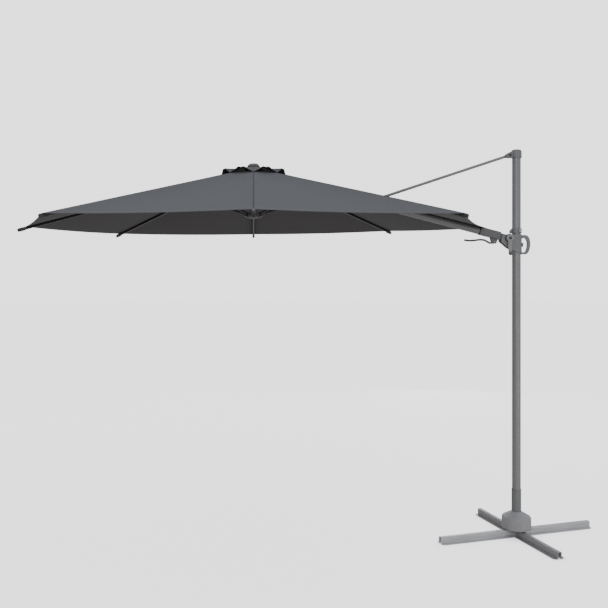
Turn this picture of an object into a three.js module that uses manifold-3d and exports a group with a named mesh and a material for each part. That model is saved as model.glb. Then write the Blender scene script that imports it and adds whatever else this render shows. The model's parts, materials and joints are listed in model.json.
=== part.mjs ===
// Cantilever parasol: a mast on a crossed steel base carries a slider, and the slider carries a long
// arm that is one of the eight ribs of the canopy. A strut from the mast top holds the arm up.
// Millimetres, +Z up. The origin is on the mast axis, on the floor, and the canopy hangs on the -X side.

import * as THREE from "three";
import { mergeVertices } from "three/addons/utils/BufferGeometryUtils.js";
import Module from "manifold-3d";

const wasm = await Module();
wasm.setup();

// ---- Driving dimensions ----

const GAP = 0.4; // between touching pieces

const BASE_TURN = 16; // degrees, of the base cross about the mast
const BEAM = { topWidth: 28, flange: 24, height: 42, wall: 4, corner: 5, flangeCorner: 20 };
const LONG_BEAM_HALF = 545;
const SHORT_BEAM_END = 418;
const BOLT_RING = 55;

const FOOT_PLATE = { radius: 75, thickness: 8 };
const FOOT_TUBE = { outer: 29.5, top: 288 };
const COVER = { radius: 91, foot: 50, shoulder: 122, neck: 154, wall: 2.5 };

const MAST = { outer: 27, inner: 24, bottom: 58, top: 2436 };
const MAST_FIT = MAST.outer + GAP;
const COLLAR = { outer: 33, bottom: 1922, top: 1952 };
const CAP = { outer: 33, bottom: 2402, shoulder: 2440, top: 2456 };
const STRUT_TOP = new THREE.Vector3(-45, 0, 2419); // pivot of the strut on the mast cap
const STRUT_RISE = 0.3306; // slope of the strut

const ARM_ROOT = new THREE.Vector3(-54, 0, 1891); // pivot of the arm on the slider
const RIB_SLOPE = THREE.MathUtils.degToRad(14.5); // of the arm, and of the rib opposite it
const DIAGONAL_SLOPE = THREE.MathUtils.degToRad(13.5); // the taut fabric lifts the slim ribs a little
const CROSS_SLOPE = THREE.MathUtils.degToRad(14.05); // of the two ribs square to the arm
const LOW_CORNER = 3; // the far rib away from the arm, where the fabric is a little looser
const ARM = { outer: 24, inner: 22.2, start: 191, end: 1547 };
const STRUT_LIFT = 45; // of the strut's pivot above the arm's axis
const BRACKET = { start: 56, end: 185, halfHeight: 26, halfWidth: 25, tongue: 18, tongueHalf: 20 };
const SPINDLE = 14.6;
const SPINDLE_FIT = SPINDLE + 0.3;
const TRIGGER_PIVOT = { along: 80, below: 45 };

const SLIDER = { outer: 33, inner: 28.9, top: 1915, bottom: 1784 };
const CHEEK = { inner: 21, outer: 30 };
const CRANK = { reach: 98, boss: 23, front: -50, back: -31.5, armFront: -48, armBack: -40 };

const CROWN = new THREE.Vector3(-1675, 0, 2315); // centre of the crown, at its rib pivots
const PIVOT_RADIUS = 55;
const HUB_RADIUS = 60;
const RIB_COUNT = 8;
const RIB = { width: 12, height: 16, wall: 1, end: 1492 };
const STRETCHER = 536; // from the rib's pivot to the stretcher, and the stretcher's own length
const RUNNER_DROP = 2 * STRETCHER * Math.sin(RIB_SLOPE);
const STRETCHER_OVERRUN = 6; // past the runner's pivot

const FABRIC = { clearance: 10, thickness: 0.7, innerRadius: 130, radius: 1470, armRadius: 1438 };
const FLAP = { innerRadius: 14, shoulder: 62, radius: 205, top: 25, shoulderHeight: 22 };
const FLAP_EDGE = { clearance: 3, arch: -3 }; // above the fabric at the ribs, and its height between them

// ---- Materials ----

function paint(hex, roughness, metalness) {
  return new THREE.MeshStandardMaterial({ color: hex, roughness, metalness });
}

const MATERIAL = {
  anthracite: paint(0x66676b, 0.45, 0.5),
  lightMetal: paint(0x8d9094, 0.4, 0.6),
  darkPlastic: paint(0x2e2f31, 0.6, 0),
  greyPlastic: paint(0x77787b, 0.5, 0),
  blackAluminium: paint(0x222224, 0.5, 0.4),
  steel: paint(0x9a9ca0, 0.35, 0.9),
  fabric: paint(0x4a4c50, 0.9, 0),
};

// ---- Solids ----

function solid(geometry) {
  const bare = geometry.clone();
  bare.deleteAttribute("normal");
  bare.deleteAttribute("uv");
  const merged = mergeVertices(bare, 1e-3);
  const vertProperties = new Float32Array(merged.attributes.position.array);
  const triVerts = new Uint32Array(merged.index.array);
  return new wasm.Manifold(new wasm.Mesh({ numProp: 3, vertProperties, triVerts }));
}

function toGeometry(manifold) {
  const mesh = manifold.getMesh();
  const geometry = new THREE.BufferGeometry();
  geometry.setAttribute("position", new THREE.BufferAttribute(mesh.vertProperties, 3));
  geometry.setIndex(new THREE.BufferAttribute(mesh.triVerts, 1));
  return geometry;
}

function join(...pieces) {
  return toGeometry(pieces.map(solid).reduce((a, b) => a.add(b)));
}

function cut(base, ...tools) {
  return toGeometry(tools.map(solid).reduce((a, b) => a.subtract(b), solid(base)));
}

function common(a, b) {
  return toGeometry(solid(a).intersect(solid(b)));
}

function box(x0, x1, y0, y1, z0, z1) {
  const geometry = new THREE.BoxGeometry(x1 - x0, y1 - y0, z1 - z0);
  return geometry.translate((x0 + x1) / 2, (y0 + y1) / 2, (z0 + z1) / 2);
}

// A round bar along X, Y or Z, between two places on that axis.
function rod(axis, radius, from, to, sides = 24) {
  const geometry = new THREE.CylinderGeometry(radius, radius, to - from, sides);
  geometry.translate(0, (from + to) / 2, 0);
  if (axis === "x") geometry.rotateZ(-Math.PI / 2);
  if (axis === "z") geometry.rotateX(Math.PI / 2);
  return geometry;
}

// A solid of revolution about Z from [radius, height] pairs.
function turned(profile, sides = 28) {
  const points = profile.map(([r, z]) => new THREE.Vector2(r, z));
  return new THREE.LatheGeometry(points, sides).rotateX(Math.PI / 2);
}

function ring(outer, inner, bottom, top, sides = 28) {
  const profile = [[inner, bottom], [outer, bottom], [outer, top], [inner, top], [inner, bottom]];
  return turned(profile, sides);
}

function outline(points) {
  return new THREE.Shape(points.map(([x, y]) => new THREE.Vector2(x, y)));
}

function extrude(shape, depth, curveSegments = 6) {
  return new THREE.ExtrudeGeometry(shape, { depth, bevelEnabled: false, curveSegments });
}

// A plate whose outline is drawn in X and Z, between two places on Y.
function sidePlate(shape, y0, y1, curveSegments = 6) {
  return extrude(shape, y1 - y0, curveSegments).rotateX(Math.PI / 2).translate(0, y1, 0);
}

// A section drawn in Y and Z, extruded along X.
function alongX(shape, x0, x1, curveSegments = 4) {
  const turn = new THREE.Matrix4().makeBasis(
    new THREE.Vector3(0, 1, 0),
    new THREE.Vector3(0, 0, 1),
    new THREE.Vector3(1, 0, 0),
  );
  return extrude(shape, x1 - x0, curveSegments).applyMatrix4(turn).translate(x0, 0, 0);
}

function roundedRectangle(halfWidth, halfHeight, corner) {
  const shape = new THREE.Shape();
  const [w, h] = [halfWidth - corner, halfHeight - corner];
  shape.absarc(w, h, corner, 0, Math.PI / 2);
  shape.absarc(-w, h, corner, Math.PI / 2, Math.PI);
  shape.absarc(-w, -h, corner, Math.PI, 1.5 * Math.PI);
  shape.absarc(w, -h, corner, 1.5 * Math.PI, 2 * Math.PI);
  return shape;
}

function circle(x, y, radius) {
  return new THREE.Shape().absarc(x, y, radius, 0, 2 * Math.PI);
}

function node(name, geometry, material) {
  const mesh = new THREE.Mesh(geometry, material);
  mesh.name = name;
  return mesh;
}

// ---- Base ----

function hatSection() {
  const half = BEAM.topWidth / 2;
  const tip = half + BEAM.flange;
  const { height, wall, corner } = BEAM;
  const shape = new THREE.Shape();
  shape.moveTo(-tip, 0);
  shape.lineTo(-half + wall, 0);
  shape.lineTo(-half + wall, height - wall);
  shape.lineTo(half - wall, height - wall);
  shape.lineTo(half - wall, 0);
  shape.lineTo(tip, 0);
  shape.lineTo(tip, wall);
  shape.lineTo(half, wall);
  shape.absarc(half - corner, height - corner, corner, 0, Math.PI / 2);
  shape.absarc(-half + corner, height - corner, corner, Math.PI / 2, Math.PI);
  shape.lineTo(-half, wall);
  shape.lineTo(-tip, wall);
  return shape;
}

function beamPlan(x0, x1) {
  const tip = BEAM.topWidth / 2 + BEAM.flange;
  const plan = roundedRectangle((x1 - x0) / 2, tip, BEAM.flangeCorner);
  return extrude(plan, BEAM.height + 2, 4).translate((x0 + x1) / 2, 0, -1);
}

function boltHole(x, y) {
  return rod("z", 5.5, -1, 60, 12).translate(x, y, 0);
}

function longBeam() {
  const whole = alongX(hatSection(), -LONG_BEAM_HALF, LONG_BEAM_HALF);
  const trimmed = common(whole, beamPlan(-LONG_BEAM_HALF, LONG_BEAM_HALF));
  return cut(trimmed, boltHole(BOLT_RING, 0), boltHole(-BOLT_RING, 0));
}

// Starts at the long beam's wall, and its lower edge is notched over the long beam's flange.
function shortBeam() {
  const start = BEAM.topWidth / 2 + GAP;
  const flangeEdge = start + BEAM.flange;
  const whole = alongX(hatSection(), start, SHORT_BEAM_END);
  const trimmed = common(whole, beamPlan(-SHORT_BEAM_END, SHORT_BEAM_END));
  const notch = box(0, flangeEdge, -60, 60, -1, BEAM.wall + GAP);
  return cut(trimmed, notch, boltHole(BOLT_RING, 0));
}

function footBolt() {
  const plateTop = BEAM.height + GAP + FOOT_PLATE.thickness;
  const underWeb = BEAM.height - BEAM.wall - GAP;
  const head = rod("z", 9, plateTop + GAP, plateTop + 7, 6);
  const shank = rod("z", 5, underWeb - 12, plateTop + 1, 12);
  const nut = rod("z", 8.8, underWeb - 8, underWeb, 6);
  return join(head, shank, nut).translate(BOLT_RING, 0, 0);
}

function mastFoot() {
  const bottom = BEAM.height + GAP;
  const plateTop = bottom + FOOT_PLATE.thickness;
  const holes = [0, 1, 2, 3].map((i) => boltHole(BOLT_RING, 0).rotateZ((i * Math.PI) / 2));
  const plate = cut(rod("z", FOOT_PLATE.radius, bottom, plateTop, 40), ...holes);
  return join(plate, ring(FOOT_TUBE.outer, MAST_FIT, plateTop - 1, FOOT_TUBE.top));
}

function baseCover() {
  const { radius, foot, shoulder, neck, wall } = COVER;
  const hole = FOOT_TUBE.outer + GAP;
  const side = [[radius, foot], [radius - 2, shoulder - 6], [radius - 5, shoulder]];
  const crest = shoulder + (neck - shoulder) * 0.5;
  const saddle = shoulder + (neck - shoulder) * 0.8;
  const dome = [[60, crest], [40, saddle], [hole + 2, neck]];
  const underDome = [[hole, neck], [hole, neck - 5], [39, saddle - 3], [58, crest - 3]];
  const inside = [[radius - 8, shoulder - 4], [radius - wall - 2, shoulder - 10], [radius - wall, foot]];
  return turned([...side, ...dome, ...underDome, ...inside, [radius, foot]], 32);
}

function buildBase() {
  const base = new THREE.Group();
  base.rotation.z = THREE.MathUtils.degToRad(BASE_TURN);
  base.add(node("cross_beam_long", longBeam(), MATERIAL.lightMetal));
  const sides = { cross_beam_front: -Math.PI / 2, cross_beam_rear: Math.PI / 2 };
  for (const [name, turn] of Object.entries(sides)) {
    const beam = node(name, shortBeam(), MATERIAL.anthracite);
    beam.rotation.z = turn;
    base.add(beam);
  }
  const tieHalf = BEAM.topWidth / 2 - BEAM.wall - GAP;
  base.add(node("cross_tie_plate", box(-70, 70, -tieHalf, tieHalf, 0, BEAM.wall), MATERIAL.steel));
  base.add(node("mast_foot", mastFoot(), MATERIAL.anthracite));
  for (let i = 0; i < 4; i++) {
    const bolt = node(`foot_bolt_${i + 1}`, footBolt(), MATERIAL.steel);
    bolt.rotation.z = (i * Math.PI) / 2;
    base.add(bolt);
  }
  base.add(node("base_cover", baseCover(), MATERIAL.greyPlastic));
  const bush = ring(FOOT_TUBE.outer, MAST_FIT, FOOT_TUBE.top + GAP, FOOT_TUBE.top + 7);
  base.add(node("foot_bush", bush, MATERIAL.darkPlastic));
  return base;
}

// ---- Mast ----

// A sleeve with a domed top, and two cheeks on its nose with an open slot for the strut.
function mastCap() {
  const { outer, bottom, shoulder, top } = CAP;
  const dome = [[0, top], [20, top - 1], [29, top - 5], [outer, shoulder]].reverse();
  const inside = [[0, MAST.top + GAP], [MAST_FIT, MAST.top + GAP], [MAST_FIT, bottom], [outer, bottom]];
  const sleeve = turned([...inside, ...dome]);
  const nose = outline([[-20, bottom], [-60, bottom], [-70, 2409], [-72, 2419], [-60, 2431], [-20, 2450]]);
  const cheeks = [sidePlate(nose, 9, 17), sidePlate(nose, -17, -9)];
  const bosses = [rod("y", 13, 16, 21), rod("y", 13, -21, -16)];
  for (const boss of bosses) boss.translate(STRUT_TOP.x, 0, STRUT_TOP.z);
  const bore = rod("z", MAST_FIT, bottom - 1, MAST.top + GAP, 32);
  return cut(join(sleeve, ...cheeks, ...bosses), bore);
}

function stopCollar() {
  const { outer, bottom, top } = COLLAR;
  const lug = box(-42, -24, -9, 9, bottom, top - 8);
  const bore = rod("z", MAST_FIT, bottom - 1, top + 1, 32);
  const hole = rod("y", 4.4, -40, 0, 12).translate(12, 0, (bottom + top) / 2);
  return cut(join(ring(outer, MAST_FIT - 1, bottom, top), lug), bore, hole);
}

function collarBolt() {
  const bolt = join(rod("y", 6, -37, -32.5, 6), rod("y", 4, -33, -27.8, 12));
  return bolt.translate(12, 0, (COLLAR.bottom + COLLAR.top) / 2);
}

function buildMast() {
  const mast = new THREE.Group();
  mast.add(node("mast_tube", ring(MAST.outer, MAST.inner, MAST.bottom, MAST.top), MATERIAL.anthracite));
  mast.add(node("mast_top_cap", mastCap(), MATERIAL.darkPlastic));
  mast.add(node("stop_collar", stopCollar(), MATERIAL.anthracite));
  mast.add(node("collar_bolt", collarBolt(), MATERIAL.steel));
  return mast;
}

// ---- Slider, with its loop handle, crank and release button ----

function loopHandle() {
  const shape = new THREE.Shape();
  shape.moveTo(20, 1911);
  shape.lineTo(54, 1911);
  shape.bezierCurveTo(76, 1909, 86, 1884, 86, 1856);
  shape.bezierCurveTo(86, 1824, 76, 1792, 56, 1787);
  shape.lineTo(20, 1789);
  const hole = new THREE.Shape();
  hole.moveTo(28, 1891);
  hole.lineTo(52, 1890);
  hole.bezierCurveTo(63, 1886, 68, 1870, 68, 1854);
  hole.bezierCurveTo(68, 1832, 62, 1806, 52, 1801);
  hole.lineTo(28, 1802);
  return cut(sidePlate(shape, -11, 11, 8), sidePlate(hole, -20, 20, 8));
}

function sliderHousing() {
  const { outer, inner, top, bottom } = SLIDER;
  const nose = [[-92, top], [-99, 1908], [-106, 1876], [-104, 1868]];
  const cheek = outline([[-10, top], ...nose, [-55, 1826], [-10, 1806]]);
  const plates = [sidePlate(cheek, CHEEK.inner, CHEEK.outer), sidePlate(cheek, -CHEEK.outer, -CHEEK.inner)];
  const sleeve = rod("z", outer, bottom, top, 40);
  const bore = rod("z", inner, bottom - 1, top + 1, 40);
  const slant = box(-90, 160, -60, 60, -60, 0).rotateY(THREE.MathUtils.degToRad(20)).translate(-33, 0, 1814);
  const pinHole = rod("y", 8.4, 0, 60, 20).translate(ARM_ROOT.x, 0, ARM_ROOT.z);
  const spindleHole = rod("y", 6.4, -60, 0, 20).translate(ARM_ROOT.x, 0, ARM_ROOT.z);
  const buttonWindow = box(20, 36, -9.5, 9.5, 1835.5, 1861.5);
  const shell = cut(join(sleeve, ...plates), slant);
  return cut(join(shell, loopHandle()), bore, pinHole, spindleHole, buttonWindow);
}

function crankArm() {
  const { reach, boss, front, back, armFront, armBack } = CRANK;
  const end = -reach - 10;
  const lever = outline([[-15, 0], [-9, end + 4], [-5, end], [5, end], [9, end + 4], [15, 0]]);
  const body = join(rod("y", boss, front, back, 32), sidePlate(lever, armFront, armBack));
  return cut(body, rod("y", 6.4, front - 1, back + 1, 20));
}

function crankKnob() {
  const profile = [[0, 0], [9, 0], [12, 5], [11, 22], [8, 31], [0, 32]];
  return turned(profile, 20).rotateX(Math.PI / 2);
}

function releaseButton() {
  return alongX(roundedRectangle(9, 12.6, 4), 33.6, 42).translate(0, 0, 1848.5);
}

function buildSlider() {
  const slider = new THREE.Group();
  slider.add(node("slider_housing", sliderHousing(), MATERIAL.anthracite));
  slider.add(node("slider_liner", ring(28.6, MAST_FIT, 1816, 1912, 40), MATERIAL.darkPlastic));
  slider.add(node("release_button", releaseButton(), MATERIAL.darkPlastic));
  const atPivot = new THREE.Group();
  atPivot.position.copy(ARM_ROOT);
  atPivot.add(node("arm_pivot_pin", rod("y", 8, -20.5, 32, 20), MATERIAL.steel));
  atPivot.add(node("crank_arm", crankArm(), MATERIAL.anthracite));
  atPivot.add(node("crank_spindle", rod("y", 6, CRANK.front + 1, -21, 20), MATERIAL.steel));
  const knob = node("crank_knob", crankKnob(), MATERIAL.darkPlastic);
  knob.position.set(0, CRANK.armFront - GAP, -CRANK.reach);
  atPivot.add(knob);
  slider.add(atPivot);
  return slider;
}

// ---- Arm: built along -X from its root pivot, then tilted up ----

function armBracket() {
  const { start, end, halfHeight, halfWidth, tongue, tongueHalf } = BRACKET;
  const body = alongX(roundedRectangle(halfWidth, halfHeight, 8), -end, -start);
  const nose = sidePlate(circle(0, 0, tongue), -tongueHalf, tongueHalf, 16);
  const neck = box(-start - 4, 0, -tongueHalf, tongueHalf, -tongue, tongue);
  const ear = outline([[-64, -24], [-66, -50], [-74, -57], [-86, -57], [-100, -46], [-112, -24]]);
  const ears = [sidePlate(ear, 8, 13), sidePlate(ear, -13, -8)];
  const pinHole = rod("y", 8.4, -30, 30, 20);
  const bore = rod("x", 17.3, -end - 1, -100, 32);
  const triggerHole = rod("y", 3.4, -20, 20, 12).translate(-TRIGGER_PIVOT.along, 0, -TRIGGER_PIVOT.below);
  return cut(join(body, nose, neck, ...ears), pinHole, bore, triggerHole);
}

function swivelCollar(along) {
  const sleeve = ring(27.4, ARM.outer, -20, 20).rotateY(Math.PI / 2);
  const eye = rod("y", 10, -6, 6, 20).translate(0, 0, STRUT_LIFT);
  const lug = join(box(-13, 13, -6, 6, 25, STRUT_LIFT - 4), eye);
  const bore = rod("x", ARM.outer + GAP, -30, 30, 32);
  const pinHole = rod("y", 4.4, -10, 10, 12).translate(0, 0, STRUT_LIFT);
  return cut(join(sleeve, lug), bore, pinHole).translate(-along, 0, 0);
}

// A curved finger lever that hangs from a barrel under the bracket.
function tiltTrigger() {
  const route = [[0, 0], [14, -13], [34, -12], [62, -5], [92, -10], [128, -24], [164, -34], [186, -36]];
  const curve = new THREE.CatmullRomCurve3(route.map(([along, up]) => new THREE.Vector3(-along, 0, up)));
  const section = roundedRectangle(4.5, 6.5, 2.5);
  const lever = new THREE.ExtrudeGeometry(section, { extrudePath: curve, steps: 14, curveSegments: 1 });
  return cut(join(rod("y", 8, -7.4, 7.4, 20), lever), rod("y", 3.4, -20, 20, 12));
}

function armTip(along) {
  const start = -ARM.end;
  const lift = pivotLift();
  const plug = rod("x", ARM.inner - GAP, start, start + 30, 32);
  const cone = new THREE.CylinderGeometry(15, ARM.outer, 26, 32).rotateZ(Math.PI / 2);
  cone.translate(start - GAP - 13, 0, 0);
  const tongue = box(-along - 6, start - 4, -6, 6, lift - 6, lift + 5);
  return join(plug, rod("x", ARM.inner - GAP, start - 2, start + 1, 32), cone, tongue);
}

// The saddle that carries the two sides of the arm's own stretcher.
function stretcherSaddle(along) {
  const band = ring(26.4, ARM.outer - 1, -12, 12).rotateY(Math.PI / 2);
  const pads = rod("y", 6, -29.4, 29.4, 20).translate(0, 0, pivotLift());
  return cut(join(band, pads), rod("x", ARM.outer + GAP, -30, 30, 32)).translate(-along, 0, 0);
}

// Height of the rib pivots' line above the arm's axis, and its reach from the arm's root.
function pivotLift() {
  const dx = ARM_ROOT.x - (CROWN.x + PIVOT_RADIUS);
  const dz = CROWN.z - ARM_ROOT.z;
  return dz * Math.cos(RIB_SLOPE) - dx * Math.sin(RIB_SLOPE);
}

function pivotReach() {
  const dx = ARM_ROOT.x - (CROWN.x + PIVOT_RADIUS);
  const dz = CROWN.z - ARM_ROOT.z;
  return dx * Math.cos(RIB_SLOPE) + dz * Math.sin(RIB_SLOPE);
}

// Where the strut meets the arm: the point of the strut's line that is STRUT_LIFT above the arm's axis.
function strutFoot() {
  const dx = STRUT_TOP.x - ARM_ROOT.x;
  const dz = STRUT_TOP.z - ARM_ROOT.z;
  const lift = dx * Math.sin(RIB_SLOPE) + dz * Math.cos(RIB_SLOPE);
  const fall = Math.sin(RIB_SLOPE) + STRUT_RISE * Math.cos(RIB_SLOPE);
  const run = (lift - STRUT_LIFT) / fall;
  return new THREE.Vector3(STRUT_TOP.x - run, 0, STRUT_TOP.z - run * STRUT_RISE);
}

function strutReach() {
  const foot = strutFoot();
  return (ARM_ROOT.x - foot.x) * Math.cos(RIB_SLOPE) + (foot.z - ARM_ROOT.z) * Math.sin(RIB_SLOPE);
}

function sleeveAlongArm(outer, inner, from, to) {
  return ring(outer, inner, from, to).rotateY(-Math.PI / 2);
}

function armSpindle() {
  return join(rod("x", SPINDLE, -194, -102, 32), rod("x", ARM.inner - GAP, -240, -193, 32));
}

function buildArm() {
  const arm = new THREE.Group();
  arm.position.copy(ARM_ROOT);
  arm.rotation.y = RIB_SLOPE;
  const reach = pivotReach();
  arm.add(node("arm_bracket", armBracket(), MATERIAL.anthracite));
  const bush = sleeveAlongArm(17, SPINDLE_FIT, 100.5, BRACKET.end - 0.5);
  arm.add(node("arm_bush", bush, MATERIAL.darkPlastic));
  arm.add(node("swivel_collar", swivelCollar(strutReach()), MATERIAL.anthracite));
  const trigger = new THREE.Group();
  trigger.position.set(-TRIGGER_PIVOT.along, 0, -TRIGGER_PIVOT.below);
  trigger.add(node("tilt_trigger", tiltTrigger(), MATERIAL.darkPlastic));
  trigger.add(node("trigger_pin", rod("y", 3, -14, 14, 12), MATERIAL.steel));
  arm.add(trigger);
  const tube = sleeveAlongArm(ARM.outer, ARM.inner, ARM.start, ARM.end);
  arm.add(node("arm_tube", tube, MATERIAL.anthracite));
  const endRing = sleeveAlongArm(26, SPINDLE_FIT, BRACKET.end + GAP, ARM.start - GAP);
  arm.add(node("arm_end_ring", endRing, MATERIAL.darkPlastic));
  arm.add(node("arm_spindle", armSpindle(), MATERIAL.steel));
  arm.add(node("arm_tip", armTip(reach), MATERIAL.darkPlastic));
  arm.add(node("stretcher_saddle", stretcherSaddle(reach - STRETCHER), MATERIAL.darkPlastic));
  return arm;
}

// ---- Strut: built along +X from its foot, then tilted up ----

function strutFork() {
  const body = rod("x", 9, 16, 34, 24);
  const tines = sidePlate(roundedRectangle(17, 9, 8.9), 6.4, 9.4, 4).translate(8, 0, 0);
  const other = sidePlate(roundedRectangle(17, 9, 8.9), -9.4, -6.4, 4).translate(8, 0, 0);
  const plug = rod("x", 7, 33, 62, 24);
  return cut(join(body, tines, other, plug), rod("y", 4.4, -20, 20, 12));
}

function strutEye(length) {
  const tab = sidePlate(roundedRectangle(20, 8.5, 8.4), -7.6, 7.6, 6).translate(length - 11.5, 0, 0);
  return join(tab, rod("x", 9, length - 34, length - 18, 24), rod("x", 7, length - 62, length - 33, 24));
}

function buildStrut() {
  const foot = strutFoot();
  const length = foot.distanceTo(STRUT_TOP);
  const strut = new THREE.Group();
  strut.position.copy(foot);
  strut.rotation.y = -Math.atan(STRUT_RISE);
  const tube = ring(9, 7.4, 34 + GAP, length - 34 - GAP, 24).rotateY(Math.PI / 2);
  strut.add(node("strut_tube", tube, MATERIAL.anthracite));
  strut.add(node("strut_lower_fork", strutFork(), MATERIAL.darkPlastic));
  strut.add(node("strut_upper_eye", strutEye(length), MATERIAL.darkPlastic));
  return strut;
}

// ---- Canopy frame ----

function notched(body, notchWidth, core) {
  const tools = [];
  for (let i = 0; i < RIB_COUNT; i++) {
    const slot = box(core, HUB_RADIUS + 20, -notchWidth / 2, notchWidth / 2, -60, 60);
    tools.push(slot.rotateZ((i * 2 * Math.PI) / RIB_COUNT));
  }
  return cut(body, ...tools);
}

function crownHub() {
  const profile = [[0, -16], [54, -16], [HUB_RADIUS, -10], [HUB_RADIUS, 10], [54, 16], [0, 16]];
  return notched(turned(profile, 40), 14, 43);
}

function runnerHub() {
  const profile = [[0, -30], [30, -30], [48, -24], [HUB_RADIUS, -16], [HUB_RADIUS, 6], [0, 6]];
  return notched(turned(profile, 40), 10, 44).translate(0, 0, -RUNNER_DROP);
}

function finial() {
  return turned([[0, 16.4], [12, 16.4], [12, 26.6], [38, 26.6], [40, 31], [36, 42], [24, 50], [0, 54]], 24);
}

function ribTube() {
  const outer = roundedRectangle(RIB.width / 2, RIB.height / 2, 1.5);
  const inner = roundedRectangle(RIB.width / 2 - RIB.wall, RIB.height / 2 - RIB.wall, 0.5);
  return cut(alongX(outer, -6, RIB.end, 1), alongX(inner, -10, RIB.end + 4, 1));
}

function ribSlope(index) {
  if (index === LOW_CORNER) return RIB_SLOPE;
  if (index % 2 === 1) return DIAGONAL_SLOPE;
  return index % 4 === 2 ? CROSS_SLOPE : RIB_SLOPE;
}

// From a stretcher's pivot on its rib to its pivot on the runner: its length, and how steeply it falls.
function stretcherRun(index) {
  const run = STRETCHER * Math.cos(ribSlope(index));
  const drop = RUNNER_DROP - STRETCHER * Math.sin(ribSlope(index));
  return { length: Math.hypot(run, drop), fall: Math.atan2(drop, run) };
}

// A flat fork seen from above: two tines that straddle the rib, then one bar to the runner.
function stretcherFork(length, halfGap, tine, tineLength, run, overhang) {
  const outer = halfGap + tine;
  const bar = 4;
  const outerEdge = [[-overhang, halfGap], [-overhang, outer], [tineLength, outer]];
  const half = [...outerEdge, [tineLength + run, bar], [length + STRETCHER_OVERRUN, bar]];
  const mirrored = half.map(([x, y]) => [x, -y]).reverse();
  const crotch = [[tineLength, -halfGap], [tineLength + run - 4, 0], [tineLength, halfGap]];
  return extrude(outline([...half, ...mirrored, ...crotch]), 10).translate(0, 0, -5);
}

function placeRib(index) {
  const spoke = new THREE.Group();
  spoke.rotation.z = (index * 2 * Math.PI) / RIB_COUNT;
  const rib = new THREE.Group();
  rib.position.x = PIVOT_RADIUS;
  rib.rotation.y = ribSlope(index);
  spoke.add(rib);
  return { spoke, rib };
}

// The stretcher runs from its rib, back towards the axis and down to the runner.
function addStretcher(rib, index, name, forkSize) {
  const { length, fall } = stretcherRun(index);
  const stretcher = node(name, stretcherFork(length, ...forkSize), MATERIAL.blackAluminium);
  stretcher.position.x = STRETCHER;
  stretcher.rotation.y = Math.PI - ribSlope(index) - fall;
  rib.add(stretcher);
}

function buildCanopyFrame() {
  const crown = new THREE.Group();
  crown.position.copy(CROWN);
  crown.add(node("crown_hub", crownHub(), MATERIAL.darkPlastic));
  crown.add(node("finial", finial(), MATERIAL.darkPlastic));
  crown.add(node("runner_hub", runnerHub(), MATERIAL.darkPlastic));
  for (let i = 0; i < RIB_COUNT; i++) {
    const { spoke, rib } = placeRib(i);
    if (i === 0) {
      addStretcher(rib, i, "arm_stretcher", [30, 4, 430, 40, 2]);
    } else {
      rib.add(node(`rib_${i}`, ribTube(), MATERIAL.blackAluminium));
      addStretcher(rib, i, `stretcher_${i}`, [6.4, 2.5, 118, 12, 6]);
    }
    crown.add(spoke);
  }
  return crown;
}

// ---- Canopy ----

// A closed sheet through rings of points. Each ring is a function from the point's number to its radius
// and height.
function ringSheet(rings, count, thickness) {
  const positions = [];
  const index = [];
  const layers = [0, thickness];
  for (const lift of layers) {
    for (const pointAt of rings) {
      for (let i = 0; i < count; i++) {
        const angle = (i * 2 * Math.PI) / count;
        const [r, height] = pointAt(i);
        positions.push(r * Math.cos(angle), r * Math.sin(angle), height + lift);
      }
    }
  }
  const at = (layer, level, i) => (layer * rings.length + level) * count + (i % count);
  const quad = (a, b, c, d) => index.push(a, b, c, a, c, d);
  for (let i = 0; i < count; i++) {
    for (let level = 0; level < rings.length - 1; level++) {
      quad(at(1, level, i), at(1, level + 1, i), at(1, level + 1, i + 1), at(1, level, i + 1));
      quad(at(0, level, i), at(0, level, i + 1), at(0, level + 1, i + 1), at(0, level + 1, i));
    }
    const last = rings.length - 1;
    quad(at(0, 0, i), at(1, 0, i), at(1, 0, i + 1), at(0, 0, i + 1));
    quad(at(0, last, i), at(0, last, i + 1), at(1, last, i + 1), at(1, last, i));
  }
  const geometry = new THREE.BufferGeometry();
  geometry.setAttribute("position", new THREE.Float32BufferAttribute(positions, 3));
  geometry.setIndex(index);
  return geometry;
}

function fabricHeight(radius, index) {
  return FABRIC.clearance - (radius - PIVOT_RADIUS) * Math.tan(ribSlope(index));
}

// The corner over the arm is nearer the crown than the others.
function canopySheet() {
  const { innerRadius, radius, armRadius, thickness } = FABRIC;
  const rings = [0, 0.33, 0.66, 1].map((share) => (i) => {
    const outer = i === 0 ? armRadius : radius;
    const r = innerRadius + (outer - innerRadius) * share;
    return [r, fabricHeight(r, i)];
  });
  const slotAt = strutFoot().x - CROWN.x;
  const slot = box(slotAt - 36, slotAt + 60, -20, 20, -600, 100);
  return cut(ringSheet(rings, RIB_COUNT, thickness), slot);
}

// The flap's edge is held down at the ribs and arches up between them, to let the wind out.
function ventFlap() {
  const { innerRadius, shoulder, radius, top, shoulderHeight } = FLAP;
  const { clearance, arch } = FLAP_EDGE;
  const archRadius = radius * Math.cos(Math.PI / RIB_COUNT);
  const corner = (i) => [radius, fabricHeight(radius, i / 2) + clearance];
  const edge = (i) => (i % 2 === 0 ? corner(i) : [archRadius, arch]);
  const rings = [() => [innerRadius, top], () => [shoulder, shoulderHeight], edge];
  return ringSheet(rings, 2 * RIB_COUNT, FABRIC.thickness);
}

function buildFabric() {
  const fabric = new THREE.Group();
  fabric.position.copy(CROWN);
  fabric.add(node("canopy", canopySheet(), MATERIAL.fabric));
  fabric.add(node("vent_flap", ventFlap(), MATERIAL.fabric));
  return fabric;
}

const parasol = new THREE.Group();
parasol.add(buildBase(), buildMast(), buildSlider(), buildArm(), buildStrut());
parasol.add(buildCanopyFrame(), buildFabric());

export default parasol;
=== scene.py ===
"""Looks of the cantilever parasol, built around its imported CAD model. Metres, +Z up, canopy towards -X."""

import json
import math

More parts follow.
